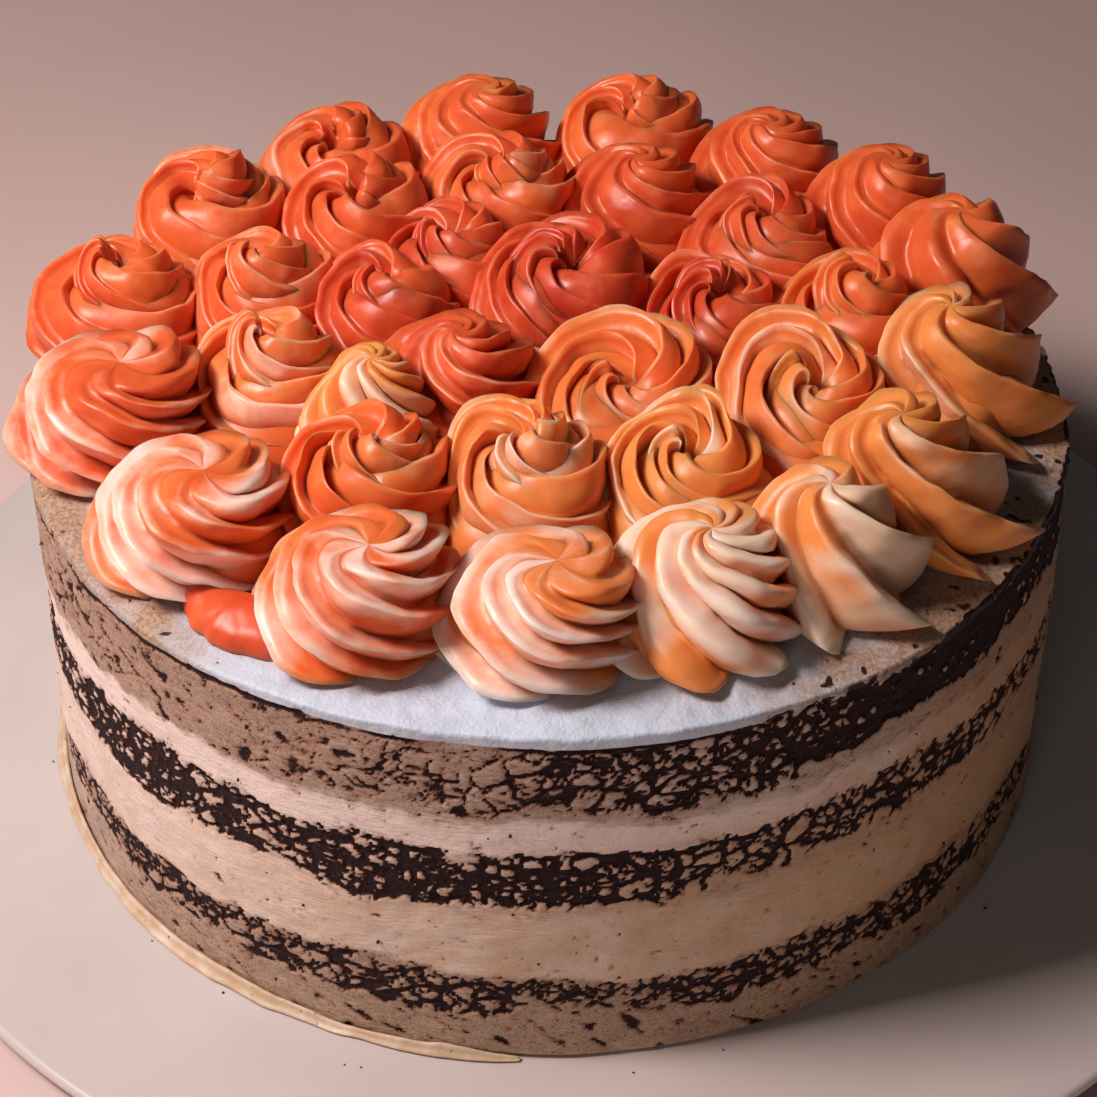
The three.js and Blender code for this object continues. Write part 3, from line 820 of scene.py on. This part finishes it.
def build_beds(material):
    """The low cream between the rosettes, where their feet run together, coloured with painted shade."""
    count, rows = 72, 9
    points, faces, tones = [], [], []
    angle = np.arange(count) * TAU / count
    for name, settings in ROSETTES.items():
        x, y = place_of(name)
        reach = visible_reach(name, x, y, settings[2])[:: 360 // count]
        outer = np.hypot(x - CAKE_X + reach * np.cos(angle), y - CAKE_Y + reach * np.sin(angle))
        reach = reach * (1.0 - 0.35 * smooth(outer, CAKE_RADIUS * 0.78, CAKE_RADIUS * 0.95))
        offset = len(points)
        for share in np.linspace(0, 1, rows):
            edge = math.cos(share * math.pi / 2) ** 0.4
            height = BED_HEIGHT * math.sin(share * math.pi / 2)
            ring = np.stack([x + reach * edge * np.cos(angle), y + reach * edge * np.sin(angle),
                             np.full(count, ROSETTE_BASE + height)], -1)
            points.extend(ring.tolist())
        points.append([x, y, ROSETTE_BASE])
        points.append([x, y, ROSETTE_BASE + BED_HEIGHT + 0.1])
        tones.extend([settings[6]] * (rows * count + 2))
        faces.extend(ring_faces(rows, count, offset))
    size = len(points)
    # Painted shade over the low cream between the rosettes.
    make_mesh("rosette_feet", points, faces,
              {"white_and_painted_light": np.zeros(size), "painted_shade": np.full(size, 0.6), "tone": np.array(tones)},
              material)


def build_dollop(material):
    """A low glossy lobe squeezed out between two rosettes."""
    source = node_points("dollop")
    low, high = source.min(0), source.max(0)
    x, y = (low[:2] + high[:2]) / 2 + [5.0, 2.0]
    count, rows = 72, 22
    angle = np.arange(count) * TAU / count
    half_length, half_width, turned = 11.5, 6.8, 0.7
    reach = 1 / np.hypot(np.cos(angle + turned) / half_length, np.sin(angle + turned) / half_width)
    share = np.linspace(0, 1, rows)[:, None]
    edge = np.cos(share * math.pi / 2) ** 0.85
    spot = np.stack([3 * np.cos(angle), 3 * np.sin(angle), angle * 0], -1)
    spread = reach * (1 + 0.12 * fractal(spot, 2, 400))
    local = np.stack([spread * edge * np.cos(angle), spread * edge * np.sin(angle),
                      (high[2] - low[2]) * 0.5 * np.sin(share * math.pi / 2) ** 0.9 + 0 * angle], -1)
    lumps = fractal(local.reshape(-1, 3) * [1, 1, 0.3], 8, 410, 2).reshape(rows, count)
    local[..., 2] *= 1 + 0.25 * lumps
    points = local + [x, y, low[2]]
    flat = np.ones((rows, count))
    # Much of the lobe takes the deep colour of the painted shade.
    make_mesh("dollop_lobe", with_ends(points), ring_faces(rows, count),
              {"white_and_painted_light": with_ends(0.1 * lumps), "painted_shade": with_ends(0.8 + 0.3 * lumps),
               "tone": with_ends(0.3 * flat)},
              material, ["dollop"])


# Foot, plate, crumbs

def build_foot(material):
    """A thin ledge of cream along the cake's foot that thins out over the plate."""
    source = node_points("icing_foot") - [CAKE_X, CAKE_Y, 0]
    bearings = np.unwrap(np.sort(np.arctan2(source[:, 1], source[:, 0]) % TAU))
    start, end = bearings[0], bearings[-1]
    inner = np.hypot(source[:, 0], source[:, 1]).min()
    outer = np.hypot(source[:, 0], source[:, 1]).max()
    top = source[:, 2].max() - CAKE_BOTTOM
    steps, count = 620, 14
    u = np.linspace(0, 1, steps)
    angle = end + (start - end) * u
    taper = np.minimum(1, np.minimum(0.25 + 14 * u, 0.25 + 14 * (1 - u)))
    spot = np.stack([100 * np.cos(angle), 100 * np.sin(angle), angle * 0], -1)
    width = (outer - inner) * taper * (0.34 + 0.14 * fractal(spot, 11, 510, 3))
    height = top * taper * (0.42 + 0.2 * fractal(spot, 14, 520, 3))
    outline = np.array([[0, 0], [0.5, 0], [1.0, 0.0], [1.03, 0.07], [0.98, 0.16], [0.86, 0.24],
                        [0.68, 0.34], [0.56, 0.5], [0.5, 0.72], [0.42, 0.9], [0.28, 1.0], [0.14, 0.96],
                        [0, 0.86], [0, 0.4]])
    out = inner - 0.5 + outline[None, :, 0] * (width + 0.5)[:, None]
    up = CAKE_BOTTOM + outline[None, :, 1] * height[:, None]
    points = place_by_cake(out, angle[:, None], up)
    rough = fractal(points.reshape(-1, 3), 2.5, 530).reshape(steps, count)
    points[..., 2] += 0.12 * rough * (outline[None, :, 1] > 0.05)
    make_mesh("icing_foot_smear", with_ends(points), ring_faces(steps, count), None, material,
              ["icing_foot"])


def build_plate(material):
    """The plate, turned from a profile of radius and height, with a rounded rim over a lower foot."""
    rim_low = 1.7
    foot = 139.0
    middle, half = (PLATE_TOP + rim_low) / 2, (PLATE_TOP - rim_low) / 2
    profile = [(foot - 3, 0.0), (foot - 0.4, 0.0), (foot, 0.3), (foot + 0.6, rim_low - 0.3),
               (foot + 1.2, rim_low)]
    for k in range(13):
        turn = -math.pi / 2 + math.pi * k / 12
        profile.append((PLATE_RADIUS - half + half * math.cos(turn), middle + half * math.sin(turn)))
    profile += [(r, PLATE_TOP) for r in (148, 144, 138, 130, 120, 105, 80, 40)]
    count = 360
    angle = np.arange(count) * TAU / count
    rows = np.array([[(r * math.cos(a), r * math.sin(a), z) for a in angle] for r, z in profile])
    # Points below the rim's middle carry the painted shade under the rim.
    painted_shade_under_rim = np.repeat([[1.0 if z < middle - 0.4 * half else 0.0] for r, z in profile], count, axis=1)
    make_mesh("stand_plate_glazed", with_ends(rows), ring_faces(len(profile), count),
              {"painted_shade_under_rim": with_ends(painted_shade_under_rim)}, material, ["stand_plate"])


def build_crumbs(material):
    """Loose crumbs on the cream bands and on the plate near the foot."""
    rng = np.random.default_rng(77)
    points, faces = [], []
    phi = (1 + 5 ** 0.5) / 2
    ball = np.array([(-1, phi, 0), (1, phi, 0), (-1, -phi, 0), (1, -phi, 0), (0, -1, phi), (0, 1, phi),
                     (0, -1, -phi), (0, 1, -phi), (phi, 0, -1), (phi, 0, 1), (-phi, 0, -1), (-phi, 0, 1)])
    ball /= np.linalg.norm(ball[0])
    ball_faces = [(0, 11, 5), (0, 5, 1), (0, 1, 7), (0, 7, 10), (0, 10, 11), (1, 5, 9), (5, 11, 4),
                  (11, 10, 2), (10, 7, 6), (7, 1, 8), (3, 9, 4), (3, 4, 2), (3, 2, 6), (3, 6, 8), (3, 8, 9),
                  (4, 9, 5), (2, 4, 11), (6, 2, 10), (8, 6, 7), (9, 8, 1)]

    def add(place, size):
        shape = ball * (size * rng.uniform(0.6, 1.25, (12, 1))) * rng.uniform(0.7, 1.2, 3)
        offset = len(points)
        points.extend((shape + place).tolist())
        faces.extend([[a + offset for a in face] for face in ball_faces])

    for _ in range(120):
        angle = rng.uniform(0, TAU)
        height = CAKE_BOTTOM + rng.choice([rng.uniform(20, 40), rng.uniform(52, 62), rng.uniform(3, 80)])
        size = 0.2 + 0.42 * rng.random() ** 3
        radius = CAKE_RADIUS + 0.05
        add(place_by_cake(radius, angle, height), size)
    for _ in range(26):
        angle = rng.uniform(0, TAU)
        size = 0.2 + 0.35 * rng.random() ** 2
        radius = CAKE_RADIUS + 3.2 + 6 * rng.random() ** 3
        add(place_by_cake(radius, angle, PLATE_TOP + size * 0.75), size)
    make_mesh("loose_crumbs", points, faces, None, material)


# Set

# In metres and degrees, as Blender has them
FLOOR_SIZE = 5.0
CAMERA_PLACE = (-0.005, -0.481, 0.4151)
CAMERA_TILT = 52.2
CAMERA_LENS = 93.18
SENSOR_WIDTH = 36


def build_set():
    """The floor, the camera at the photograph's viewing angle, and soft studio light."""
    floor_mesh = bpy.data.meshes.new("floor")
    half = FLOOR_SIZE / 2
    corners = [(-half, -half, 0), (half, -half, 0), (half, half, 0), (-half, half, 0)]
    floor_mesh.from_pydata(corners, [], [(0, 1, 2, 3)])
    floor_mesh.materials.append(floor_material())
    floor = bpy.data.objects.new("floor", floor_mesh)
    bpy.context.scene.collection.objects.link(floor)

    camera_data = bpy.data.cameras.new("camera")
    camera_data.lens = CAMERA_LENS
    camera_data.sensor_width = SENSOR_WIDTH
    camera = bpy.data.objects.new("camera", camera_data)
    camera.location = CAMERA_PLACE
    camera.rotation_euler = (math.radians(CAMERA_TILT), 0, 0)
    bpy.context.scene.collection.objects.link(camera)
    bpy.context.scene.camera = camera

    def area_light(name, bearing, elevation, distance, size, watts, colour):
        data = bpy.data.lights.new(name, "AREA")
        data.size, data.energy, data.color = size, watts, colour
        light = bpy.data.objects.new(name, data)
        b, e = math.radians(bearing), math.radians(elevation)
        back = Vector((math.cos(b) * math.cos(e), math.sin(b) * math.cos(e), math.sin(e)))
        light.location = back * distance
        light.rotation_euler = (-back).to_track_quat("-Z", "Y").to_euler()
        bpy.context.scene.collection.objects.link(light)

    area_light("key", 198, 52, 0.80, 0.2, 5.5, (1.0, 0.76, 0.68))
    area_light("near", 194, 58, 0.48, 0.15, 0.5, (0.85, 1.0, 1.0))
    area_light("front", 256, 14, 1.6, 0.6, 3.3, (1.0, 0.84, 0.72))

    world = bpy.data.worlds.new("world")
    world.use_nodes = True
    background = world.node_tree.nodes["Background"]
    background.inputs["Color"].default_value = (0.70, 0.68, 0.60, 1)
    background.inputs["Strength"].default_value = 0.04
    bpy.context.scene.world = world
    bpy.context.scene.view_settings.view_transform = "Standard"


side_surface = side_material()
side_edges = build_layers(side_surface)
build_top_icing(side_edges, icing_material())
rosette_icing = rosette_material()
build_rosettes(rosette_icing)
build_beds(rosette_icing)
build_dollop(rosette_icing)
build_foot(foot_material())
build_plate(plate_material())
build_crumbs(crumb_material())
build_set()
